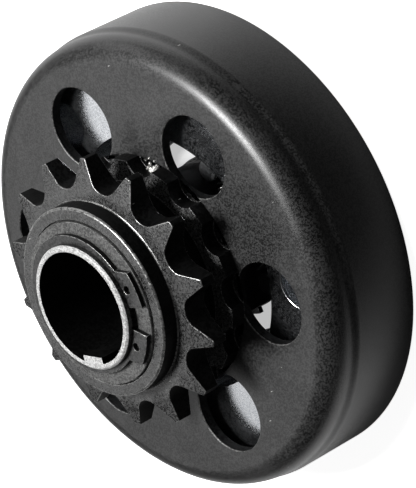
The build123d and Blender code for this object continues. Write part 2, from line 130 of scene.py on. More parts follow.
@dataclass
class Bench:
    """The workbench: operators that make, shape and finish one piece at a time."""

    weld_distance: float = 0.002
    smooth_angle: float = 38.0
    bevel_angle: float = 28.0

    def only(self, piece: Piece) -> None:
        """Select one piece, make it active and leave all others unselected.

        Args:
            piece: The piece.
        """
        bpy.ops.object.select_all(action="DESELECT")
        piece.select_set(True)
        bpy.context.view_layer.objects.active = piece

    @contextmanager
    def editing(self, piece: Piece) -> Iterator[None]:
        """Open a piece in edit mode with everything selected, and close it again.

        Args:
            piece: The piece.
        """
        self.only(piece)
        bpy.ops.object.mode_set(mode="EDIT")
        bpy.ops.mesh.select_all(action="SELECT")
        yield
        bpy.ops.object.mode_set(mode="OBJECT")

    def closed(self, piece: Piece) -> Piece:
        """Merge doubled points and turn every face outwards.

        Args:
            piece: The piece.

        Returns:
            The same piece.
        """
        with self.editing(piece):
            bpy.ops.mesh.remove_doubles(threshold=self.weld_distance * MM)
            bpy.ops.mesh.normals_make_consistent(inside=False)
        return piece

    def primitive(self, name: str, add: Callable[..., object], size: Iterable[float] = (1, 1, 1),
                  **settings: object) -> Piece:
        """Add a primitive with nothing else selected, and put its place and size into its mesh.

        Args:
            name: The piece's name.
            add: The operator that adds it.
            size: How much it is then resized along each axis.
            settings: The operator's settings, in metres.

        Returns:
            The piece.
        """
        bpy.ops.object.select_all(action="DESELECT")
        add(**settings)
        bpy.ops.transform.resize(value=size)
        piece = bpy.context.object
        piece.name = name
        bpy.ops.object.transform_apply(location=True, rotation=True, scale=True)
        return piece

    def modified(self, piece: Piece, kind: str, **settings: object) -> None:
        """Give a piece a modifier and apply it.

        Args:
            piece: The piece.
            kind: The modifier's type.
            settings: The modifier's settings, in metres.
        """
        modifier = piece.modifiers.new(kind, kind)
        for key, value in settings.items():
            setattr(modifier, key, value)
        self.only(piece)
        bpy.ops.object.modifier_apply(modifier=modifier.name)

    def moved(self, piece: Piece, *steps: Matrix) -> Piece:
        """Move a piece by its mesh.

        Args:
            piece: The piece.
            steps: The moves and turns, in order.

        Returns:
            The same piece.
        """
        for step in steps:
            piece.data.transform(step)
        return piece

    def turned(self, name: str, rings: list[Point], sides: int, capped: bool = False) -> Piece:
        """Turn a solid about the shaft axis, ring by ring.

        Args:
            name: The piece's name.
            rings: Radius and height of each ring of the section, in order round it.
            sides: The number of sides.
            capped: True for a solid rod, whose two end rings are closed by flat faces.

        Returns:
            The piece.
        """
        radius, height = rings[0]
        piece = self.primitive(name, bpy.ops.mesh.primitive_circle_add, vertices=sides, radius=radius * MM,
                               fill_type="NGON" if capped else "NOTHING", location=(0, 0, height * MM))
        with self.editing(piece):
            for next_radius, next_height in rings[1:] + ([] if capped else rings[:1]):
                rise = (0, 0, (next_height - height) * MM)
                bpy.ops.mesh.extrude_region_move(TRANSFORM_OT_translate={"value": rise})
                share = next_radius / radius
                bpy.ops.transform.resize(value=(share, share, 1), center_override=(0, 0, next_height * MM))
                radius, height = next_radius, next_height
        return self.closed(piece)

    def rod(self, name: str, radius: float, height: Span, sides: int) -> Piece:
        """Make a plain round rod on the shaft axis."""
        return self.turned(name, [(radius, height[0]), (radius, height[1])], sides, capped=True)

    def rolled_cutter(self, name: str, radius: float, lip: float, face: float, height: Span,
                      sides: int) -> Piece:
        """Make the cutter of a round hole whose edge is rolled over, by its lip, at one face."""
        roll = arc((radius + lip, face - lip), lip, 180, 90, steps=4)
        return self.turned(name, [(radius, height[0]), *roll, (radius + lip, height[1])], sides, capped=True)

    def prism(self, name: str, outline: list[Point], height: Span) -> Piece:
        """Raise a straight solid from a flat outline.

        Args:
            name: The piece's name.
            outline: The corners in order, with no repeated end point.
            height: The heights of its two faces.

        Returns:
            The piece.
        """
        x, y = outline[0]
        low, high = height
        piece = self.primitive(name, bpy.ops.mesh.primitive_plane_add, (MM, MM, 1),
                               location=(x * MM, y * MM, low * MM))
        with self.editing(piece):
            bpy.ops.mesh.merge(type="CENTER")
            for next_x, next_y in outline[1:] + outline[:1]:
                step = ((next_x - x) * MM, (next_y - y) * MM, 0)
                bpy.ops.mesh.extrude_vertices_move(TRANSFORM_OT_translate={"value": step})
                x, y = next_x, next_y
            bpy.ops.mesh.select_all(action="SELECT")
            bpy.ops.mesh.remove_doubles(threshold=self.weld_distance * MM)
            bpy.ops.mesh.edge_face_add()
            rise = (0, 0, (high - low) * MM)
            bpy.ops.mesh.extrude_region_move(TRANSFORM_OT_translate={"value": rise})
        return self.closed(piece)

    def block(self, name: str, x: Span, y: Span, z: Span) -> Piece:
        """Make a block from its three pairs of limits, each pair in either order.

        Args:
            name: The piece's name.
            x: The limits along X.
            y: The limits along Y.
            z: The limits along Z.

        Returns:
            The piece.
        """
        centre = [sum(span) / 2 * MM for span in (x, y, z)]
        size = [abs(span[1] - span[0]) / 2 * MM for span in (x, y, z)]
        return self.primitive(name, bpy.ops.mesh.primitive_cube_add, size, location=centre)

    def combine(self, piece: Piece, tools: Iterable[Piece], how: Combine) -> None:
        """Cut, fuse or keep a piece with other solids, which are used up.

        Args:
            piece: The piece that changes.
            tools: The solids that act on it, one after the other.
            how: What each of them does.
        """
        for tool in tools:
            self.modified(piece, "BOOLEAN", operation=how.value, solver="EXACT", object=tool)
            bpy.data.objects.remove(tool)

    def round_pattern(self, piece: Piece, count: int, start: float = 0.0) -> list[Piece]:
        """Copy a piece evenly round the shaft axis and use the first one up.

        Args:
            piece: The piece.
            count: The number of copies.
            start: The direction of the first copy, in degrees.

        Returns:
            The copies, each with a mesh of its own.
        """
        copies = []
        for index in range(count):
            self.only(piece)
            bpy.ops.object.duplicate()
            copies.append(self.moved(bpy.context.object, spin(start + 360 * index / count)))
        bpy.data.objects.remove(piece)
        return copies

    def joined(self, pieces: list[Piece], name: str) -> Piece:
        """Join separate solids into one piece.

        Args:
            pieces: The solids.
            name: The piece's name.

        Returns:
            The piece.
        """
        self.only(pieces[0])
        for piece in pieces[1:]:
            piece.select_set(True)
        bpy.ops.object.join()
        pieces[0].name = name
        return pieces[0]

    def bevelled(self, piece: Piece, width: float, segments: int = 2, number: int = 0) -> None:
        """Merge points nearer than half a bevel, then round the sharp edges.

        Args:
            piece: The piece.
            width: The width of the bevel.
            segments: The number of faces across it.
            number: The place of the new faces' finish in the piece's list.
        """
        with self.editing(piece):
            bpy.ops.mesh.remove_doubles(threshold=width * MM / 2)
            bpy.ops.mesh.dissolve_degenerate(threshold=width * MM / 4)
        while len(piece.data.materials) <= number:
            piece.data.materials.append(None)
        self.modified(piece, "BEVEL", width=width * MM, segments=segments, limit_method="ANGLE",
                      angle_limit=math.radians(self.bevel_angle), miter_outer="MITER_ARC",
                      use_clamp_overlap=False, material=number)

    def set_apart(self, piece: Piece, number: int, radius: Span = ANY, height: Span = ANY,
                  upright: Span = ANY, among: int = 0) -> None:
        """Give the faces in one place another of the piece's finishes.

        Args:
            piece: The piece.
            number: The place of their new finish in the piece's list.
            radius: The limits of their middles' distance from the shaft axis.
            height: The limits of their middles' height.
            upright: The limits of their steepness, 0 flat and 1 upright.
            among: The place of the finish that they have so far.
        """
        for face in piece.data.polygons:
            x, y, z = (value / MM for value in face.center)
            limits = ((math.hypot(x, y), radius), (z, height), (1 - abs(face.normal.z), upright))
            if face.material_index == among and all(low < value < high for value, (low, high) in limits):
                face.material_index = number

    def smoothed(self, piece: Piece) -> None:
        """Shade curved faces smooth and keep flat faces flat.

        Args:
            piece: The piece.
        """
        self.only(piece)
        bpy.ops.object.shade_smooth_by_angle(angle=math.radians(self.smooth_angle))
        self.modified(piece, "WEIGHTED_NORMAL", keep_sharp=True)


@dataclass
class Shader:
    """A node tree with short calls to add and feed nodes."""

    tree: bpy.types.NodeTree

    def join(self, socket: Socket, value: object) -> None:
        """Feed an input with another node's output or with a value.

        Args:
            socket: The input.
            value: An output, a number, or a vector or a colour of three numbers.
        """
        if isinstance(value, Socket):
            self.tree.links.new(value, socket)
        else:
            socket.default_value = (*value, 1) if socket.type == "RGBA" else value

    def feed(self, node: Node, **settings: object) -> None:
        """Set a node's properties and feed its inputs.

        Args:
            node: The node.
            settings: Properties by their names in small letters, and inputs by their names with
                underscores for spaces.
        """
        for key, value in settings.items():
            if key.islower():
                setattr(node, key, value)
            else:
                self.join(node.inputs[key.replace("_", " ")], value)

    def node(self, kind: str, **settings: object) -> Node:
        """Add a node and feed it.

        Args:
            kind: The node's type name, without its ShaderNode prefix.
            settings: Its properties and inputs, as feed takes them.

        Returns:
            The node.
        """
        made = self.tree.nodes.new(f"ShaderNode{kind}")
        self.feed(made, **settings)
        return made

    def place(self) -> Socket:
        """Return the shaded point's place in the piece's own frame."""
        return self.node("TexCoord").outputs["Object"]

    def maths(self, operation: str, *operands: object, kind: str = "Math") -> Socket:
        """Add a maths node.

        Args:
            operation: What it does.
            operands: Sockets, numbers or vectors.
            kind: Math for numbers, or VectorMath for vectors.

        Returns:
            The number that it gives.
        """
        made = self.node(kind, operation=operation)
        for socket, value in zip(made.inputs, operands):
            self.join(socket, value)
        return made.outputs["Value"]

    def ramp(self, value: Socket, source: Span, target: Span = (0.0, 1.0)) -> Socket:
        """Map a value from one range to another, held at its ends."""
        limits = dict(zip(("From_Min", "From_Max", "To_Min", "To_Max"), source + target))
        return self.node("MapRange", Value=value, **limits).outputs[0]

    def blend(self, factor: Socket, first: Colour | Socket, second: Colour) -> Socket:
        """Blend two colours.

        Args:
            factor: The share of the second one.
            first: The first colour.
            second: The second colour.

        Returns:
            The blended colour.
        """
        made = self.node("Mix", data_type="RGBA")
        for number, value in ((0, factor), (6, first), (7, second)):
            self.join(made.inputs[number], value)
        return made.outputs[2]


@dataclass
class Effects:
    """Shader groups that several finishes share."""

    noise_span: Span = (0.25, 0.75)
    cloud_span: Span = (0.3, 0.7)
    ring_slope: float = 0.83
    mark_size: float = 0.09
    mark_turn: Place = (0.4, 0.9, 0.7)
    mark_stretch: Place = (1.0, 5.0, 1.0)
    groups: dict[str, bpy.types.NodeTree] = field(default_factory=dict)

    def started(self, name: str, outputs: tuple[str, ...], **inputs: float) -> tuple[Shader, Node, Node]:
        """Start a group whose sockets all are numbers.

        Args:
            name: The group's name.
            outputs: The names of its outputs.
            inputs: Its inputs and their first values.

        Returns:
            The group's tree, the node that gives its inputs and the node that takes its outputs.
        """
        tree = bpy.data.node_groups.new(name, "ShaderNodeTree")
        for label in inputs:
            socket = tree.interface.new_socket(name=label, in_out="INPUT", socket_type="NodeSocketFloat")
            socket.default_value = inputs[label]
        for label in outputs:
            tree.interface.new_socket(name=label, in_out="OUTPUT", socket_type="NodeSocketFloat")
        self.groups[name] = tree
        return Shader(tree), tree.nodes.new("NodeGroupInput"), tree.nodes.new("NodeGroupOutput")

    def build(self) -> None:
        """Build every shared group once."""
        for effect in (self.speckle, self.clouds, self.turning, self.scratches):
            effect()

    def speckle(self) -> None:
        """Fine grain, as of a phosphated or blasted surface: a value from 0 to 1, and a softer height."""
        shader, given, result = self.started("speckle", ("Value", "Height"), Scale=2500.0, Contrast=0.5)
        seat = {"Vector": shader.place(), "Scale": given.outputs["Scale"]}
        noise = shader.node("TexNoise", noise_dimensions="3D", Detail=2.0, Roughness=0.65, **seat)
        cells = shader.node("TexVoronoi", feature="F1", Randomness=1.0, **seat)
        split = shader.node("SeparateColor", Color=cells.outputs["Color"])
        spread = shader.maths("SUBTRACT", split.outputs[0], 0.5)
        centred = shader.maths("ADD", shader.maths("MULTIPLY", spread, given.outputs["Contrast"]), 0.5)
        centred.node.use_clamp = True
        shader.feed(result, Value=centred, Height=shader.ramp(noise.outputs[0], self.noise_span))

    def clouds(self) -> None:
        """Broad uneven patches, as of oil and handling, from 0 to 1."""
        shader, given, result = self.started("clouds", ("Value",), Scale=60.0, Warp=0.6)
        noise = shader.node("TexNoise", noise_dimensions="3D", Detail=5.0, Roughness=0.55,
                            Vector=shader.place(), Scale=given.outputs["Scale"],
                            Distortion=given.outputs["Warp"])
        shader.feed(result, Value=shader.ramp(noise.outputs[0], self.cloud_span))

    def turning(self) -> None:
        """Fine rings left by a lathe tool, about the shaft axis, from 0 to 1."""
        shader, given, result = self.started("turning", ("Value",), Scale=3000.0)
        x, y, z = shader.node("SeparateXYZ", Vector=shader.place()).outputs
        squares = shader.maths("ADD", shader.maths("MULTIPLY", x, x), shader.maths("MULTIPLY", y, y))
        slope = shader.maths("MULTIPLY", z, self.ring_slope)
        path = shader.maths("ADD", shader.maths("SQRT", squares), slope)
        noise = shader.node("TexNoise", noise_dimensions="1D", Detail=3.0, Roughness=0.7, W=path,
                            Scale=given.outputs["Scale"])
        shader.feed(result, Value=shader.ramp(noise.outputs[0], self.noise_span))

    def scratches(self) -> None:
        """Sparse short scratches and dents, 1 on a mark and 0 elsewhere."""
        shader, given, result = self.started("scratches", ("Value",), Scale=260.0, Cover=0.02)
        mapping = shader.node("Mapping", Rotation=self.mark_turn, Scale=self.mark_stretch,
                              Vector=shader.place())
        cells = shader.node("TexVoronoi", feature="F1", Randomness=1.0, Vector=mapping.outputs[0],
                            Scale=given.outputs["Scale"])
        near = shader.maths("LESS_THAN", cells.outputs["Distance"], self.mark_size)
        split = shader.node("SeparateColor", Color=cells.outputs["Color"])
        chosen = shader.maths("LESS_THAN", split.outputs[0], given.outputs["Cover"])
        shader.feed(result, Value=shader.maths("MULTIPLY", near, chosen))

    def value(self, shader: Shader, name: str, **inputs: float) -> Socket:
        """Place a shared group in a material with its own values, and return its value."""
        return shader.node("Group", node_tree=self.groups[name], **inputs).outputs["Value"]


@dataclass(frozen=True)
class Finish:
    """A metal or painted surface with grain, patches, tool marks and small scratches.

    Attributes:
        name: The finish's name.
        dark: The colour in the hollows of the grain.
        light: The colour on its peaks.
        metallic: 1 for bare metal and 0 for a coating.
        rough: The lowest and highest roughness.
        rough_span: The levels of the grain at which they are reached.
        grain: How strong the grain is, and its scale per metre.
        patch_scale: The scale of the broad patches per metre.
        patchy: The share of the patches in the colour, beside the grain.
        bump: The depth of the grain in millimetres.
        specular: The shine of a coating at right angles.
        marks: The share of the surface's cells that hold a scratch.
        bare: The colour of the metal in a scratch.
        polish: How much less rough a scratch is.
        rings: The depth of turning marks in millimetres.
        oil: The share of the surface under a film of oil.
        oil_rough: The roughness of that film.
    """

    name: str
    dark: Colour
    light: Colour
    metallic: float = 0.0
    rough: Span = (0.4, 0.55)
    rough_span: Span = (0.2, 0.8)
    grain: Span = (0.6, 2500.0)
    patch_scale: float = 60.0
    patchy: float = 0.3
    bump: float = 0.004
    specular: float = 0.5
    marks: float = 0.0
    bare: Colour = (0.6, 0.6, 0.58)
    polish: float = 0.2
    rings: float = 0.0
    oil: float = 0.0
    oil_rough: float = 0.42

    def material(self, effects: Effects) -> bpy.types.Material:
        """Build the finish's material.

        Args:
            effects: The shared shader groups.

        Returns:
            The material.
        """
        made = bpy.data.materials.new(self.name)
        made.use_nodes = True
        shader = Shader(made.node_tree)
        grain = effects.value(shader, "speckle", Scale=self.grain[1], Contrast=self.grain[0])
        patches = effects.value(shader, "clouds", Scale=self.patch_scale)
        mixed = shader.maths("ADD", shader.maths("MULTIPLY", patches, self.patchy),
                             shader.maths("MULTIPLY", grain, 1 - self.patchy))
        colour = shader.blend(mixed, self.dark, self.light)
        rough = shader.ramp(mixed, self.rough_span, self.rough)
        if self.marks:
            scratch = effects.value(shader, "scratches", Cover=self.marks)
            colour = shader.blend(scratch, colour, self.bare)
            rough = shader.maths("SUBTRACT", rough, shader.maths("MULTIPLY", scratch, self.polish))
        height = grain.node.outputs["Height"]
        if self.rings:
            turning = shader.maths("MULTIPLY", effects.value(shader, "turning"), self.rings / self.bump)
            height = shader.maths("ADD", height, turning)
        bump = shader.node("Bump", Strength=1.0, Distance=self.bump * MM, Height=height)
        shader.feed(made.node_tree.nodes["Principled BSDF"], Metallic=self.metallic,
                    Specular_IOR_Level=self.specular, Coat_Weight=self.oil, Coat_Roughness=self.oil_rough,
                    Base_Color=colour, Roughness=rough, Normal=bump.outputs[0])
        return made


def grey(level: float) -> Colour:
    """Return a neutral colour."""
    return level, level, level


DRUM_BLACK = Finish("drum_black", grey(0.0), grey(0.056), rough=(0.34, 0.5), grain=(2.3, 3500.0), bump=0.02,
                    marks=0.035, oil=0.95, oil_rough=0.35)
# Painted highlight: lighter grey on the windows' rolled lips, standing in for the light that they catch
LIP_HIGHLIGHT_GREY = Finish("lip_highlight_grey", grey(0.06), (0.35, 0.35, 0.34), metallic=0.5, rough=(0.35, 0.5),
                  grain=(1.4, 2300.0), bump=0.01)
SPROCKET_BLACK = Finish("sprocket_black", grey(0.0), grey(0.105), rough=(0.22, 0.36), grain=(1.5, 3300.0),
                        bump=0.015, rings=0.003, marks=0.03, specular=1.0)
# Painted shade: a darker copy of the black finishes, for upright walls that stand in shade
FLANK_PAINTED_SHADE = Finish("flank_painted_shade", grey(0.0), grey(0.012), rough=(0.34, 0.5), grain=(2.2, 2300.0), bump=0.02,
                     marks=0.02, specular=0.12)
# Light bare metal on rounded edges: partly edge wear, partly a painted highlight along edges that catch the
# light
WORN_EDGE_AND_HIGHLIGHT = Finish("worn_edge_and_highlight", grey(0.06), (0.6, 0.6, 0.59), metallic=0.7, rough=(0.24, 0.36),
                   grain=(0.9, 1700.0), specular=1.0)
FRICTION_BRIGHT = Finish("friction_bright", (0.35, 0.35, 0.34), (0.7, 0.7, 0.69), metallic=0.9,
                         rough=(0.3, 0.45), grain=(1.0, 1800.0), bump=0.005, rings=0.004)
RING_BLACK = Finish("ring_black", grey(0.0), grey(0.085), rough=(0.28, 0.42), grain=(1.5, 3200.0), bump=0.02,
                    marks=0.03, specular=0.8)
WASHER_GREY = Finish("washer_grey", grey(0.06), (0.27, 0.27, 0.265), metallic=0.5, rough=(0.34, 0.5),
                     grain=(1.5, 3200.0), bump=0.02, rings=0.004)
HUB_DARK = Finish("hub_dark", grey(0.01), grey(0.12), metallic=0.6, rough=(0.3, 0.45), grain=(1.8, 2300.0),
                  bump=0.02, marks=0.15)
# Near black bore: partly oxide blackened steel, partly painted shade deep inside the bore
BORE_OXIDE_AND_SHADE = Finish("bore_oxide_and_shade", grey(0.003), grey(0.009), rough=(0.6, 0.75), specular=0.05,
                    grain=(2.0, 2000.0))
NOSE_BRIGHT = Finish("nose_bright", grey(0.4), (0.87, 0.87, 0.86), metallic=0.2, rough=(0.4, 0.6),
                     grain=(2.0, 3300.0), bump=0.02, rings=0.01)
SHOE_IRON = Finish("shoe_iron", (0.5, 0.52, 0.55), (0.95, 0.97, 1.0), metallic=1.0, rough=(0.16, 0.26),
                   grain=(1.2, 3300.0), bump=0.008)
DRIVER_IRON = Finish("driver_iron", (0.02, 0.02, 0.023), (0.07, 0.07, 0.075), metallic=0.4,
                     rough=(0.35, 0.5), grain=(1.2, 1800.0), bump=0.01)
LINING_BROWN = Finish("lining_brown", (0.05, 0.04, 0.03), (0.17, 0.13, 0.09), rough=(0.7, 0.85),
                      grain=(1.4, 1500.0), bump=0.02, specular=0.3)
RIVET_BRASS = Finish("rivet_brass", (0.5, 0.34, 0.12), (0.7, 0.5, 0.22), metallic=1.0, rough=(0.3, 0.45))
PIN_ZINC = Finish("pin_zinc", (0.4, 0.41, 0.43), (0.6, 0.61, 0.62), metallic=1.0, rough=(0.25, 0.4))
SPRING_WIRE = Finish("spring_wire", grey(0.15), (0.35, 0.35, 0.34), metallic=1.0, rough=(0.28, 0.4))
BUSHING_BRONZE = Finish("bushing_bronze", (0.35, 0.22, 0.1), (0.55, 0.37, 0.18), metallic=1.0,
                        grain=(1.2, 2500.0))
# Weld metal whose near-white colour paints the glint that the bead throws
WELD_GLINT = Finish("weld_glint", (0.1, 0.1, 0.095), (1.0, 0.98, 0.94), metallic=0.7, rough=(0.25, 0.45),
                     grain=(2.6, 1900.0), bump=0.08)


@dataclass(frozen=True)
class Stretch:
    """The body that one end of an elastic piece follows, and the stretch's ends in metres."""

    body: Body
    start: Place
    end: Place


@dataclass
class Shop:
    """What every sub-assembly needs: the bench, the finishes and the report of each piece."""

    bench: Bench
    effects: Effects
    materials: dict[str, bpy.types.Material] = field(default_factory=dict)

    def material(self, finish: Finish) -> bpy.types.Material:
        """Return a finish's material, built when it is first asked for.

        Args:
            finish: The finish.

        Returns:
            The material.
        """
        if finish.name not in self.materials:
            self.materials[finish.name] = finish.material(self.effects)
        return self.materials[finish.name]

    def finished(self, piece: Piece, finish: Finish, body: Body, node: str, slot: str,
                 also: tuple[Finish, ...] = (), stretch: Stretch | None = None) -> None:
        """Dress a piece, let it ride on its body unless it stretches, and let it stand for its node.

        Args:
            piece: The finished mesh.
            finish: Its finish.
            body: The body that it moves with.
            node: The frame's node that it stands for, or an empty name for none.
            slot: Not used.
            also: Further finishes, for the faces that were set apart for them.
            stretch: The piece's stretch, or none; a stretched piece has its place put into its mesh and rides
                on no body.
        """
        slots = piece.data.materials
        for number, wanted in enumerate((finish, *also)):
            if number == len(slots):
                slots.append(None)
            slots[number] = self.material(wanted)
        if stretch:
            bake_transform(piece)
        else:
            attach(piece, body.value)
        if node:
            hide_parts(node)
        LOG.info("%s: %d faces on %s", piece.name, len(piece.data.polygons), body.value)


@dataclass
class Assembly:
    """A sub-assembly of the clutch, made in the shop."""

    shop: Shop

    @property
    def bench(self) -> Bench:
        """Return the shop's bench."""
        return self.shop.bench


@dataclass
class DrumSet(Assembly):
    """The drum, the sprocket on it and the bushing inside the sprocket."""

    depth: float = 25.0
    sheet: float = 2.4
    bore: float = 50.2
    front_radius: float = 52.4
    skirt_radius: float = 53.0
    skirt_length: float = 16.9
    blend_length: float = 2.4
    blend_steps: int = 6
    corner: float = 5.0
    rim_chamfer: float = 0.4
    centre_hole: float = 24.02
    window_radius: float = 9.35
    window_circle: float = 34.65
    window_count: int = 6
    window_lip: float = 0.25
    pitch: float = 12.7
    teeth: int = 14
    steps_per_tooth: int = 14
    seat_radius: float = 4.0
    tip_radius: float = 31.1
    tip_width: float = 1.5
    tooth_back: float = 33.65
    tooth_front: float = 39.65
    tooth_bevel: float = 1.15
    bevel_start: float = 25.4
    edge: float = 0.16
    bright_edge_depth: float = 1.0
    neck_radius: float = 22.2
    flange_radius: float = 27.1
    flange_top: float = 28.75
    spigot_radius: float = 24.0
    spigot_end: float = 22.3
    boss_radius: float = 21.75
    boss_face: float = 43.9
    boss_root: float = 0.45
    boss_chamfer: float = 0.35
    recess_radius: float = 19.0
    recess_floor: float = 42.85
    bore_radius: float = 16.37
    bushing_outer: float = 16.35
    bushing_inner: float = 14.35
    bushing_chamfer: float = 0.3
    bead_ripple: float = 0.9
    bead_relief: float = 0.5
    near: float = 0.1
    hair: float = 0.01

    def build(self) -> None:
        """Build and dress every piece."""
        for make in (self.drum, self.sprocket, self.bushing, self.weld_tack):
            make()

    def drum(self) -> None:
        """Drawn cup with a soft step in its wall and six windows with rolled edges."""
        bench = self.bench
        inner_corner = self.corner - (self.front_radius - self.bore)
        inner_face = self.depth - self.sheet
        wall_top = inner_face - inner_corner
        step = self.skirt_radius - self.front_radius
        shares = [index / self.blend_steps for index in range(self.blend_steps + 1)]
        rings = [
            (self.centre_hole, self.depth),
            *arc((self.front_radius - self.corner, self.depth - self.corner), self.corner, 90, 0, steps=14),
            *((self.front_radius + step * (1 - math.cos(math.pi * share)) / 2,
               self.skirt_length + self.blend_length * (1 - share)) for share in shares),
            (self.skirt_radius, self.rim_chamfer), (self.skirt_radius - self.rim_chamfer, 0),
            (self.bore + self.rim_chamfer, 0), (self.bore, self.rim_chamfer),
            *arc((self.bore - inner_corner, wall_top), inner_corner, 0, 90, steps=8),
            (self.centre_hole, inner_face),
        ]
        drum = bench.turned("drum_cup", rings, sides=240)
        cutter = bench.rolled_cutter("window", self.window_radius, self.window_lip, self.depth,
                                     (inner_face - self.sheet, self.depth + self.sheet), sides=72)
        bench.moved(cutter, shift(y=self.window_circle))
        bench.combine(drum, bench.round_pattern(cutter, self.window_count), Combine.CUT)
        bench.smoothed(drum)
        roll_start = self.depth - self.window_lip
        windows = (self.window_circle - self.window_radius, self.window_circle + self.window_radius)
        bench.set_apart(drum, 1, radius=(self.bore - self.near, self.bore + self.near), height=(0, wall_top))
        # Painted highlight on the windows' rolled lips
        bench.set_apart(drum, 2, radius=windows, height=(roll_start, self.depth - self.hair))
        # Painted shade on the window walls and the centre hole's wall
        bench.set_apart(drum, 3, radius=(0, self.front_radius - self.corner),
                        height=(inner_face, roll_start), upright=STEEP)
        self.shop.finished(drum, DRUM_BLACK, Body.DRUM, "drum", "drum_black",
                           (FRICTION_BRIGHT, LIP_HIGHLIGHT_GREY, FLANK_PAINTED_SHADE))

    def tooth_gap(self) -> list[Point]:
        """Outline one roller gap, its seat centred on +X at the pitch radius.

        Returns:
            The corners in order.
        """
        pitch_radius = self.pitch / 2 / math.sin(math.pi / self.teeth)
        tip_angle = math.degrees(math.pi / self.teeth - self.tip_width / 2 / self.tip_radius)
        tip = Vector(polar(self.tip_radius, tip_angle))
        to_tip = tip - Vector((pitch_radius, 0))
        swing = math.acos(self.seat_radius / to_tip.length)
        touch = math.degrees(math.atan2(to_tip.y, to_tip.x) + swing)
        seat_arc = arc((pitch_radius, 0), self.seat_radius, touch, 360 - touch, steps=22)
        flank = tip - Vector(seat_arc[0])
        outside = tip + flank.normalized() * self.seat_radius
        return [*seat_arc, (outside.x, -outside.y), (outside.x, outside.y)]

    def sprocket(self) -> None:
        """Turned boss, neck and flange with fourteen cut teeth."""
        bench = self.bench
        root_end = self.tooth_front + self.boss_root
        chamfer_start = self.boss_face - self.boss_chamfer
        rings = [
            (self.bore_radius, self.spigot_end), (self.spigot_radius, self.spigot_end),
            (self.spigot_radius, self.depth), (self.flange_radius, self.depth),
            (self.flange_radius, self.flange_top), (self.neck_radius, self.flange_top),
            (self.neck_radius, self.tooth_back), (self.bevel_start, self.tooth_back),
            (self.tip_radius, self.tooth_back + self.tooth_bevel),
            (self.tip_radius, self.tooth_front - self.tooth_bevel),
            (self.bevel_start, self.tooth_front),
            *arc((self.boss_radius + self.boss_root, root_end), self.boss_root, 270, 180, steps=4),
            (self.boss_radius, chamfer_start), (self.boss_radius - self.boss_chamfer, self.boss_face),
            (self.recess_radius, self.boss_face), (self.recess_radius, self.recess_floor),
            (self.bore_radius, self.recess_floor),
        ]
        body = bench.turned("sprocket_body", rings, sides=self.teeth * self.steps_per_tooth)
        gap = bench.prism("gap", self.tooth_gap(), (self.depth, self.tooth_front + self.boss_chamfer))
        gaps = bench.joined(bench.round_pattern(gap, self.teeth, 180), "gaps")
        bench.combine(body, [gaps], Combine.CUT)
        bench.bevelled(body, self.edge, segments=3, number=1)
        bench.smoothed(body)
        # Only the rounded edges near the teeth's front face keep the light edge finish, partly wear and
        # partly painted highlight
        bright_edge_start = self.tooth_front - self.tooth_bevel - self.bright_edge_depth
        bench.set_apart(body, 0, height=(0, bright_edge_start), among=1)
        # Painted highlight lines on the boss's root round and its chamfer, in the light edge finish
        for line in ((self.tooth_front, root_end), (chamfer_start - self.near, self.boss_face)):
            bench.set_apart(body, 1, radius=(self.boss_radius - self.boss_chamfer, math.inf), height=line,
                            upright=SLOPED)
        # Painted shade on the upright walls of the teeth, the flange and the boss
        for wall in ((self.depth, self.tooth_front), (self.tooth_front + self.boss_root / 2, self.boss_face)):
            bench.set_apart(body, 2, height=wall, upright=UPRIGHT)
        self.shop.finished(body, SPROCKET_BLACK, Body.DRUM, "sprocket", "sprocket_black",
                           (WORN_EDGE_AND_HIGHLIGHT, FLANK_PAINTED_SHADE))

    def bushing(self) -> None:
        """Plain bronze sleeve with small chamfers."""
        rings = ring_section(self.bushing_inner, self.bushing_outer, (self.spigot_end, self.recess_floor),
                             self.bushing_chamfer)
        bushing = self.bench.turned("bronze_sleeve", rings, sides=128)
        self.bench.smoothed(bushing)
        self.shop.finished(bushing, BUSHING_BRONZE, Body.DRUM, "sprocket_bushing", "bronze")

    def weld_tack(self) -> None:
        """Small bright bead of weld in a gap of the toothed flange, with drops beside it, its near-white
        colour a painted glint.

        Each drop is given by its place's radius and direction, its own radius and its height.
        """
        bench = self.bench
        drops = [(25.0, 230.9, 1.05, 0.9), (25.5, 229.0, 0.7, 0.6), (24.9, 233.2, 0.6, 0.6),
                 (26.2, 227.2, 0.5, 0.5), (26.6, 235.0, 0.4, 0.35), (26.1, 231.9, 0.45, 0.5),
                 (24.5, 229.4, 0.5, 0.7), (27.1, 229.6, 0.3, 0.3), (27.3, 232.8, 0.25, 0.25),
                 (25.8, 225.9, 0.28, 0.28)]
        beads = []
        for radius, direction, width, height in drops:
            x, y = polar(radius, direction)
            beads.append(bench.primitive("bead", bpy.ops.mesh.primitive_ico_sphere_add, subdivisions=4,
                                         radius=width * MM, location=(x * MM, y * MM, self.depth * MM),
                                         size=(1, 1, height / width)))
        bead = bench.joined(beads, "weld_tack")
        noise = bpy.data.textures.new("weld_ripple", "CLOUDS")
        noise.noise_scale = self.bead_ripple * MM
        bench.modified(bead, "DISPLACE", texture=noise, texture_coords="LOCAL",
                       strength=self.bead_relief * MM)
        bpy.ops.object.shade_smooth()
        self.shop.finished(bead, WELD_GLINT, Body.DRUM, "", "sprocket_black")


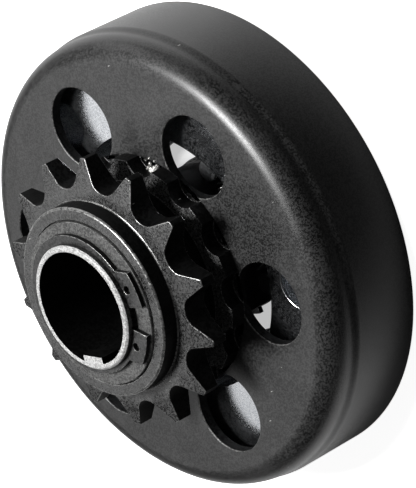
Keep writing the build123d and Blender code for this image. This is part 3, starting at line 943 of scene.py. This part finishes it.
@dataclass
class RetainingRing:
    """One external retaining ring, widest opposite its gap, with two drilled lugs."""

    node: str
    groove: float
    shaft: float
    low: float
    gap_direction: float
    clearance: float = 0.02
    groove_depth: float = 0.95
    thickness: float = 1.2
    margin: float = 2.6
    eccentricity: float = 1.0
    lug_height: float = 5.05
    lug_half_angle: float = 35.5
    lug_taper: float = 9.0
    lug_overlap: float = 0.5
    gap_half_angle: float = 10.2
    hole_radius: float = 0.95
    hole_height: float = 2.3
    hole_half_angle: float = 25.0
    edge: float = 0.12

    @property
    def bore(self) -> float:
        """Return the radius of the ring's bore."""
        return self.groove + self.clearance

    @property
    def outer(self) -> float:
        """Return the radius of the lugs' outer ends."""
        return self.shaft + self.lug_height - self.groove_depth

    def lug(self, bench: Bench, side: int) -> Piece:
        """Make one lug as a plate with a rounded outer end.

        Args:
            bench: The workbench.
            side: 1 or -1, for the side of the gap.

        Returns:
            The lug.
        """
        end = arc((0, 0), self.outer, side * self.gap_half_angle, side * self.lug_half_angle, steps=8)
        foot = polar(self.bore + self.margin / 2, side * (self.lug_half_angle + self.lug_taper))
        root = polar(self.bore - self.lug_overlap, side * self.gap_half_angle / 2)
        return bench.prism("lug", [root, *end, foot], (self.low, self.low + self.thickness))

    def build(self, bench: Bench) -> Piece:
        """Make the ring from its eccentric band, lugs, gap and holes.

        Args:
            bench: The workbench.

        Returns:
            The piece.
        """
        high = self.low + self.thickness
        through = (self.low - self.thickness, high + self.thickness)
        band = bench.rod(f"{self.node}_band", self.bore + self.margin, (self.low, high), sides=144)
        bench.moved(band, shift(x=-self.eccentricity))
        bench.combine(band, [self.lug(bench, side) for side in (1, -1)], Combine.FUSE)
        gap = [(0.0, 0.0), *(polar(2 * self.outer, side * self.gap_half_angle) for side in (1, -1))]
        cutters = [bench.rod("bore", self.bore, through, sides=144), bench.prism("gap", gap, through)]
        hole_circle = self.shaft + self.hole_height - self.groove_depth
        for side in (1, -1):
            hole = bench.rod("hole", self.hole_radius, through, sides=32)
            cutters.append(bench.moved(hole, shift(*polar(hole_circle, side * self.hole_half_angle))))
        bench.combine(band, cutters, Combine.CUT)
        bench.moved(band, spin(self.gap_direction))
        bench.bevelled(band, self.edge, segments=3, number=1)
        bench.smoothed(band)
        return band


@dataclass
class TensionSpring:
    """A close wound tension spring along Y, in two halves with a hook round a pin on each."""

    side: int
    offset: float = 23.013
    height: float = 15.2
    radius: float = 2.5
    wire: float = 0.45
    wire_sides: int = 12
    coil_share: float = 0.97
    stem_share: float = 0.96
    link_share: float = 0.95
    pin_height: float = 13.6
    hook_radius: float = 2.35
    hook_sides: int = 48
    turns: int = 7
    steps_per_turn: int = 24

    @property
    def mean(self) -> float:
        """Return the radius of the coil's centre line."""
        return self.radius - self.wire

    @property
    def half(self) -> float:
        """Return half the length of the wound body."""
        return self.pin_height - self.hook_radius - 3 * self.wire

    def middle(self, along: float) -> Place:
        """Return a point of the spring's centre line in metres, for a distance along it."""
        return self.side * self.offset * MM, along * MM, self.height * MM

    def coil(self, bench: Bench, end: int) -> Piece:
        """Wind the wire's round section into the half of the body towards one end.

        Args:
            bench: The workbench.
            end: 1 for the half towards shoe a, -1 for the half towards shoe b.

        Returns:
            The coil, along Y from the spring's middle.
        """
        wire = bench.primitive("spring_coil", bpy.ops.mesh.primitive_circle_add, vertices=self.wire_sides,
                               radius=self.wire * self.coil_share * MM, location=(self.mean * MM, 0, 0),
                               rotation=(math.pi / 2, 0, 0))
        bench.modified(wire, "SCREW", axis="Z", screw_offset=self.half / self.turns * MM,
                       iterations=self.turns, steps=self.steps_per_turn, render_steps=self.steps_per_turn,
                       use_merge_vertices=True)
        with bench.editing(wire):
            bpy.ops.mesh.select_all(action="DESELECT")
            bpy.ops.mesh.select_non_manifold()
            bpy.ops.mesh.fill_holes(sides=0)
        bench.closed(wire)
        return bench.moved(wire, shift(z=min(-end, 0) * self.half), spin(90, "X"))

    def build(self, bench: Bench, end: int, name: str) -> Piece:
        """Make the half of the spring towards one end, with its hook, in its place.

        Args:
            bench: The workbench.
            end: 1 for the half towards shoe a, -1 for the half towards shoe b.
            name: The piece's name.

        Returns:
            The piece.
        """
        coil = self.coil(bench, end)
        hook = bench.primitive("hook", bpy.ops.mesh.primitive_torus_add, major_radius=self.hook_radius * MM,
                               minor_radius=self.wire * MM, major_segments=self.hook_sides,
                               minor_segments=self.wire_sides, location=(0, end * self.pin_height * MM, 0))
        stem = bench.rod("stem", self.wire * self.stem_share,
                         (self.half - self.wire, self.pin_height - self.hook_radius), self.wire_sides)
        bench.moved(stem, spin(-end * 90, "X"))
        link = bench.rod("link", self.wire * self.link_share, (-self.wire, self.mean), self.wire_sides)
        bench.moved(link, spin(90, "Y"), shift(y=end * self.half))
        spring = bench.joined([coil, hook, stem, link], name)
        bench.moved(spring, Matrix.Translation(self.middle(0)))
        bench.smoothed(spring)
        return spring


@dataclass
class HubSet(Assembly):
    """The hub, its washers and rings, the driver and the springs."""

    shaft: float = 12.7
    relief: float = 12.9
    relief_run: float = 2.0
    sleeve: float = 14.3
    flange_radius: float = 17.6
    body_radius: float = 15.5
    rear: float = 0.4
    flange_back: float = 17.0
    flange_front: float = 20.9
    nose: float = 47.25
    groove_width: float = 1.25
    front_groove: float = 44.45
    front_groove_radius: float = 13.35
    rear_groove: float = 1.0
    rear_groove_radius: float = 14.5
    rear_ring_play: float = 0.05
    nose_chamfer: float = 0.45
    bore_chamfer: float = 0.4
    hub_edge: float = 0.1
    key_width: float = 6.0
    key_reach: float = 1.55
    key_length: float = 12.25
    key_root: float = 0.1
    bore_near: float = 0.05
    key_direction: float = 67.0
    flat_distance: float = 14.2
    washer_edge: float = 0.12
    front_ring_gap: float = 151.2
    rear_ring_gap: float = 90.0
    arm_half_width: float = 7.3
    arm_reach: float = 46.5
    arm_back: float = 3.3
    arm_front: float = 12.0
    driver_fit: float = 0.02
    driver_edge: float = 0.25
    overshoot: float = 1.0
    tongue_reach: float = 2.5
    tongue_height: Span = (6.5, 8.5)
    tongue_span: Span = (32.0, 45.5)

    def build(self) -> None:
        """Build and dress every piece."""
        self.hub()
        self.washer("front_thrust_washer", outer=18.7, inner=14.4, height=(42.9, 44.4))
        self.washer("inner_thrust_washer", outer=21.0, inner=14.4, height=(20.95, 22.25))
        self.washer("rear_washer", outer=17.9, inner=15.6, height=(2.3, 3.3))
        self.rings()
        self.driver()
        self.springs()

    def groove(self, radius: float, floor: float, start: float) -> list[Point]:
        """Return the section of a ring groove, by its outside and floor radii and its lower wall's height."""
        end = start + self.groove_width
        return [(radius, start), (floor, start), (floor, end), (radius, end)]

    def hub(self) -> None:
        """Turned sleeve with two grooves, a flange, two flats and the key in its bore."""
        bench = self.bench
        key_back = self.nose - self.key_length
        face_start = self.nose - self.nose_chamfer
        rings = [
            (self.shaft + self.bore_chamfer, self.rear), (self.body_radius - self.bore_chamfer, self.rear),
            (self.body_radius, self.rear + self.bore_chamfer),
            *self.groove(self.body_radius, self.rear_groove_radius, self.rear_groove),
            (self.body_radius, self.flange_back), (self.flange_radius, self.flange_back),
            (self.flange_radius, self.flange_front), (self.sleeve, self.flange_front),
            *self.groove(self.sleeve, self.front_groove_radius, self.front_groove),
            (self.sleeve, face_start), (self.sleeve - self.nose_chamfer, self.nose),
            (self.relief, self.nose), (self.relief, key_back),
            (self.shaft, key_back - self.relief_run), (self.shaft, self.rear + self.bore_chamfer),
        ]
        hub = bench.turned("hub_sleeve", rings, sides=180)
        far = 2 * self.body_radius
        flats = [bench.block("flat", (-far, far), (side * self.flat_distance, side * far),
                             (-self.overshoot, self.flange_back)) for side in (1, -1)]
        bench.combine(hub, flats, Combine.CUT)
        half = self.key_width / 2
        key = bench.block("key", (self.shaft - self.key_reach, self.relief + self.key_root), (-half, half),
                          (key_back, self.nose))
        bench.combine(hub, [bench.moved(key, spin(self.key_direction))], Combine.FUSE)
        bench.bevelled(hub, self.hub_edge)
        bench.smoothed(hub)
        # The bore takes the near black finish, partly oxide and partly painted shade
        bench.set_apart(hub, 1, radius=(0, self.relief + self.bore_near), height=(0, face_start))
        bench.set_apart(hub, 2, height=(face_start, math.inf))
        self.shop.finished(hub, HUB_DARK, Body.HUB, "hub", "hub_steel", (BORE_OXIDE_AND_SHADE, NOSE_BRIGHT))

    def washer(self, node: str, outer: float, inner: float, height: Span) -> None:
        """Flat washer with slightly rounded edges.

        Args:
            node: The frame's node that it stands for.
            outer: The outer radius.
            inner: The inner radius.
            height: The heights of its two faces.
        """
        rings = ring_section(inner, outer, height, self.washer_edge)
        washer = self.bench.turned(f"{node}_plate", rings, sides=160)
        self.bench.smoothed(washer)
        # The washer's rounded edges take the light edge finish, partly wear and partly painted highlight
        self.bench.set_apart(washer, 1, upright=ROUNDED)
        self.shop.finished(washer, WASHER_GREY, Body.HUB, node, "washer_steel", (WORN_EDGE_AND_HIGHLIGHT,))

    def rings(self) -> None:
        """Retaining rings in the front and rear grooves."""
        front = RetainingRing("front_retaining_ring", self.front_groove_radius, self.sleeve,
                              self.front_groove, self.front_ring_gap)
        rear = RetainingRing("rear_retaining_ring", self.rear_groove_radius, self.body_radius,
                             self.rear_groove + self.rear_ring_play, self.rear_ring_gap)
        for ring in (front, rear):
            piece = ring.build(self.bench)
            # Painted shade on the ring's upright walls; its rounded edges keep the light edge finish, partly
            # wear and partly painted highlight
            self.bench.set_apart(piece, 2, upright=UPRIGHT)
            self.shop.finished(piece, RING_BLACK, Body.HUB, ring.node, "ring_black",
                               (WORN_EDGE_AND_HIGHLIGHT, FLANK_PAINTED_SHADE))

    def driver(self) -> None:
        """Two armed carrier with side tongues and a flatted bore."""
        bench = self.bench
        half, reach = self.arm_half_width, self.arm_reach
        above = self.flange_front + self.arm_back
        collar = bench.rod("driver_carrier", self.flange_radius, (self.arm_back, self.flange_back), sides=144)
        arms = bench.block("arms", (-reach, reach), (-half, half), (self.arm_back, self.arm_front))
        wide = half + self.tongue_reach
        tongues = [bench.block("tongue", (side * self.tongue_span[0], side * self.tongue_span[1]),
                               (-wide, wide), self.tongue_height) for side in (1, -1)]
        bench.combine(collar, [arms, *tongues], Combine.FUSE)
        bench.combine(collar, [bench.rod("limit", reach, (0, above), sides=180)], Combine.KEEP)
        bore = bench.rod("bore", self.body_radius + self.driver_fit, (0, above), sides=144)
        flat = self.flat_distance + self.driver_fit
        sides = bench.block("sides", (-reach, reach), (-flat, flat),
                            (-self.overshoot, above + self.overshoot))
        bench.combine(bore, [sides], Combine.KEEP)
        bench.combine(collar, [bore], Combine.CUT)
        bench.bevelled(collar, self.driver_edge)
        bench.smoothed(collar)
        self.shop.finished(collar, DRIVER_IRON, Body.HUB, "driver", "sintered_iron")

    def springs(self) -> None:
        """Both tension springs, each stretching from its middle out to the two shoes."""
        for side, name in ((1, "right"), (-1, "left")):
            spring = TensionSpring(side)
            for end, letter, shoe in ((1, "a", Body.SHOE_A), (-1, "b", Body.SHOE_B)):
                piece = spring.build(self.bench, end, f"tension_spring_{name}_{letter}")
                stretch = Stretch(shoe, spring.middle(0), spring.middle(end * spring.half))
                self.shop.finished(piece, SPRING_WIRE, Body.HUB, f"spring_{name}", "spring_wire",
                                   stretch=stretch)


@dataclass
class ShoeSet(Assembly):
    """One shoe with its lining, rivets and spring pins, drawn for the upper side."""

    letter: str
    body: Body
    travel: float = 0.9
    outer: float = 47.0
    inner: float = 30.4
    web_inner: float = 24.0
    back: float = 3.0
    front: float = 20.0
    web_front: float = 6.5
    edge: float = 0.5
    end: float = 8.5
    slot_height: Span = (6.2, 8.8)
    slot_depth: float = 11.6
    hole_radius: float = 5.15
    hole_circle: float = 39.6
    hole_directions: Point = (106.1, 153.3)
    hole_lip: float = 0.4
    lining_outer: float = 49.9
    lining_inset: float = 0.5
    lining_end: float = 16.0
    lining_fit: float = 0.02
    lining_edge: float = 0.15
    rivet_directions: tuple[float, ...] = (24.7, 59.7, 94.7, 129.7)
    rivet_foot: float = 43.5
    rivet_top: float = 49.1
    rivet_radius: float = 1.5
    rivet_head: float = 2.6
    rivet_cone: float = 1.1
    rivet_land: float = 0.15
    rivet_sink: float = 1.6
    rivet_edge: float = 0.08
    pin_place: Point = (23.013, 14.5)
    pin_radius: float = 1.6
    pin_shoulder: float = 2.3
    pin_head: float = 2.4
    pin_neck: Span = (13.6, 16.8)
    pin_top: float = 17.8
    pin_edge: float = 0.15

    def build(self) -> None:
        """Build and dress every piece."""
        for make in (self.shoe, self.lining, self.rivets, self.pins):
            make()

    def placed(self, piece: Piece, finish: Finish, kind: str, slot: str) -> None:
        """Draw a piece back from the drum, turn it for the second shoe and dress it.

        Args:
            piece: The piece.
            finish: Its finish.
            kind: Its name, without the shoe's letter.
            slot: The record's material slot.
        """
        self.bench.smoothed(piece)
        self.bench.moved(piece, shift(y=-self.travel))
        if self.letter == "b":
            self.bench.moved(piece, spin(180))
        piece.name = f"{kind}_{self.letter}_piece"
        self.shop.finished(piece, finish, self.body, f"{kind}_{self.letter}", slot)

    def shoe(self) -> None:
        """Thick rim with two round windows, a thin web and slotted ends."""
        bench, edge = self.bench, self.edge
        rings = [
            (self.inner, self.web_front), (self.web_inner, self.web_front), (self.web_inner, self.back),
            (self.outer, self.back), (self.outer, self.front - edge),
            *arc((self.outer - edge, self.front - edge), edge, 0, 90, steps=4)[1:],
            *arc((self.inner + edge, self.front - edge), edge, 90, 180, steps=4),
        ]
        shoe = bench.turned("shoe", rings, sides=240)
        reach = 2 * self.outer
        keep = bench.block("half", (-reach, reach), (self.end, reach), (0, 2 * self.front))
        bench.combine(shoe, [keep], Combine.KEEP)
        cutters = [bench.block("slot", (-reach, reach), (0, self.slot_depth), self.slot_height)]
        for direction in self.hole_directions:
            hole = bench.rolled_cutter("hole", self.hole_radius, self.hole_lip, self.front,
                                       (0, 2 * self.front), sides=64)
            cutters.append(bench.moved(hole, shift(*polar(self.hole_circle, direction))))
        bench.combine(shoe, cutters, Combine.CUT)
        self.placed(shoe, SHOE_IRON, "shoe", "sintered_iron")

    def lining(self) -> None:
        """Curved band of friction material with countersunk rivet holes."""
        bench = self.bench
        inner = self.outer + self.lining_fit
        low, high = self.back + self.lining_inset, self.front - self.lining_inset
        outside = ring_section(inner, self.lining_outer, (low, high), self.lining_edge)[1:5]
        lining = bench.turned("lining", [(inner, low), *outside, (inner, high)], sides=240)
        reach = 2 * self.outer
        fan = [(0.0, 0.0), polar(reach, self.lining_end), (reach, reach), (-reach, reach),
               polar(reach, 180 - self.lining_end)]
        bench.combine(lining, [bench.prism("fan", fan, (0, 2 * self.front))], Combine.KEEP)
        sinks = [self.rivet(direction, self.lining_fit, self.rivet_sink)
                 for direction in self.rivet_directions]
        bench.combine(lining, sinks, Combine.CUT)
        self.placed(lining, LINING_BROWN, "lining", "lining")

    def rivet(self, direction: float, growth: float, land: float) -> Piece:
        """Make one countersunk rivet, or its cutter, pointing in a direction.

        Args:
            direction: The direction from the shaft axis, in degrees.
            growth: How much larger than the rivet it is all round.
            land: The straight length above its cone.

        Returns:
            The piece.
        """
        cone_top = self.rivet_top - self.rivet_land
        rings = [
            (self.rivet_radius + growth, self.rivet_foot),
            (self.rivet_radius + growth, cone_top - self.rivet_cone),
            (self.rivet_head + growth, cone_top),
            (self.rivet_head + growth, cone_top + land),
        ]
        piece = self.bench.turned("rivet", rings, sides=40, capped=True)
        middle = (self.back + self.front) / 2
        return self.bench.moved(piece, spin(90, "Y"), shift(z=middle), spin(direction))

    def rivets(self) -> None:
        """All rivets of the lining."""
        pieces = [self.rivet(direction, 0.0, self.rivet_land) for direction in self.rivet_directions]
        rivets = self.bench.joined(pieces, "rivets")
        self.bench.bevelled(rivets, self.rivet_edge)
        self.placed(rivets, RIVET_BRASS, "lining_rivets", "rivet_brass")

    def pins(self) -> None:
        """Both shouldered spring pins."""
        low, high = self.pin_neck
        rings = [
            (self.pin_radius, self.back), (self.pin_radius, self.web_front),
            (self.pin_shoulder, self.web_front), (self.pin_shoulder, low), (self.pin_radius, low),
            (self.pin_radius, high), (self.pin_head, high), (self.pin_head, self.pin_top),
        ]
        x, y = self.pin_place
        pins = [self.bench.moved(self.bench.turned("pin", rings, sides=40, capped=True), shift(side * x, y))
                for side in (1, -1)]
        group = self.bench.joined(pins, "pins")
        self.bench.bevelled(group, self.pin_edge)
        self.placed(group, PIN_ZINC, "spring_pins", "pin_steel")


@dataclass
class SoftLight:
    """One soft box that faces the clutch, in metres and watts."""

    name: str
    place: Place
    size: float
    power: float

    def add(self, target: Vector) -> None:
        """Put the light in the scene.

        Args:
            target: The point that it faces.
        """
        data = bpy.data.lights.new(self.name, "AREA")
        data.shape = "RECTANGLE"
        data.size = data.size_y = self.size
        data.energy = self.power
        lamp = bpy.data.objects.new(self.name, data)
        bpy.context.scene.collection.objects.link(lamp)
        lamp.location = self.place
        lamp.rotation_mode = "QUATERNION"
        lamp.rotation_quaternion = (Vector(self.place) - target).to_track_quat("Z", "Y")


@dataclass
class Studio:
    """Camera, pale floor, soft lights and background, in metres."""

    camera_place: Place = (-0.61706, 0.00034, 0.48340)
    camera_right: Place = (-0.5408, 0.4614, -0.7033)
    camera_up: Place = (-0.2813, -0.8872, -0.3657)
    lens: float = 261.6
    clip: Span = (0.05, 50.0)
    world_soft: float = 0.1
    gloss_direction: Place = (0.51, -0.61, 0.61)
    gloss_span: Span = (0.0, 0.75)
    gloss_levels: Span = (0.015, 0.06)
    window_direction: Place = (0.765, -0.095, 0.637)
    window_span: Span = (0.962, 0.99)
    floor_gloss: Span = (0.03, 0.6)
    floor_turn: Span = (-0.064, -0.03)
    floor_base: float = 0.03
    floor_rough: float = 0.9
    painted_drum_shadow: Span = (0.046, 0.05)
    floor_levels: Span = (0.5, 0.9)
    floor_size: float = 12.0
    target: Place = (0.0, 0.0, 0.025)

    def build(self) -> None:
        """Set up the whole studio, with the main soft box above and a weaker one at the side."""
        self.camera()
        self.floor()
        self.world()
        SoftLight("top_softbox", place=(0.0, -0.246, 0.634), size=0.18, power=5.0).add(Vector(self.target))
        SoftLight("side_softbox", place=(0.3, -1.0, 0.35), size=0.5, power=0.8).add(Vector(self.target))
        bpy.context.scene.view_settings.view_transform = "Standard"

    def camera(self) -> None:
        """Stand the camera where the photograph was taken from."""
        data = bpy.data.cameras.new("camera")
        data.lens = self.lens
        data.clip_start, data.clip_end = self.clip
        camera = bpy.data.objects.new("camera", data)
        bpy.context.scene.collection.objects.link(camera)
        right = Vector(self.camera_right).normalized()
        up = Vector(self.camera_up)
        up = (up - right * up.dot(right)).normalized()
        turn = Matrix((right, up, right.cross(up))).transposed().to_4x4()
        camera.matrix_world = Matrix.Translation(self.camera_place) @ turn
        bpy.context.scene.camera = camera

    def floor(self) -> None:
        """Lay a pale floor that looks white and keeps the clutch's shadow, with a painted shadow inside the
        drum and painted shade towards -X in reflections.
        """
        bpy.ops.object.select_all(action="DESELECT")
        bpy.ops.mesh.primitive_plane_add(size=self.floor_size)
        plane = bpy.context.object
        plane.name = "floor"
        made = bpy.data.materials.new("floor_white")
        made.use_nodes = True
        shader = Shader(made.node_tree)
        path = shader.node("LightPath")
        place = shader.place()
        # Painted shade: in reflections the floor is darker towards -X, the camera's side
        across = shader.node("SeparateXYZ", Vector=place).outputs[0]
        mirrored = shader.ramp(across, self.floor_turn, self.floor_gloss)
        # Painted shadow: to the camera, the floor is dimmer inside the drum's footprint
        away = shader.maths("LENGTH", place, kind="VectorMath")
        seen = shader.maths("MULTIPLY", path.outputs["Is Camera Ray"],
                            shader.ramp(away, self.painted_drum_shadow, self.floor_levels))
        gloss = shader.maths("MULTIPLY", path.outputs["Is Glossy Ray"], mirrored)
        colour = shader.maths("MAXIMUM", seen, shader.maths("MAXIMUM", gloss, self.floor_base))
        shader.feed(made.node_tree.nodes["Principled BSDF"], Base_Color=colour, Roughness=self.floor_rough,
                    Specular_IOR_Level=0.0, Emission_Color=grey(1.0), Emission_Strength=seen)
        plane.data.materials.append(made)

    def world(self) -> None:
        """Make the world white to the camera, softly dim to the rest, and lit from one window in gloss."""
        world = bpy.data.worlds.new("studio")
        bpy.context.scene.world = world
        world.use_nodes = True
        shader = Shader(world.node_tree)
        path = shader.node("LightPath")
        glossy = path.outputs["Is Glossy Ray"]
        around = shader.node("TexCoord").outputs["Generated"]
        facing = shader.maths("DOT_PRODUCT", around, self.gloss_direction, kind="VectorMath")
        near = shader.maths("DOT_PRODUCT", around, self.window_direction, kind="VectorMath")
        mirrored = shader.maths("MAXIMUM", shader.ramp(facing, self.gloss_span, self.gloss_levels),
                                shader.ramp(near, self.window_span))
        other = shader.maths("MULTIPLY", shader.maths("LESS_THAN", glossy, 0.5), self.world_soft)
        level = shader.maths("ADD", shader.maths("MULTIPLY", glossy, mirrored), other)
        shader.feed(world.node_tree.nodes["Background"], Color=grey(1.0),
                    Strength=shader.maths("MAXIMUM", path.outputs["Is Camera Ray"], level))


def main() -> None:
    """Build the clutch's looks and the studio."""
    logging.basicConfig(level=logging.INFO, format="%(name)s: %(message)s")
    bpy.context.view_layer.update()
    effects = Effects()
    effects.build()
    shop = Shop(Bench(), effects)
    DrumSet(shop).build()
    HubSet(shop).build()
    ShoeSet(shop, "a", Body.SHOE_A).build()
    ShoeSet(shop, "b", Body.SHOE_B).build()
    Studio().build()


if __name__ == "__main__":
    main()
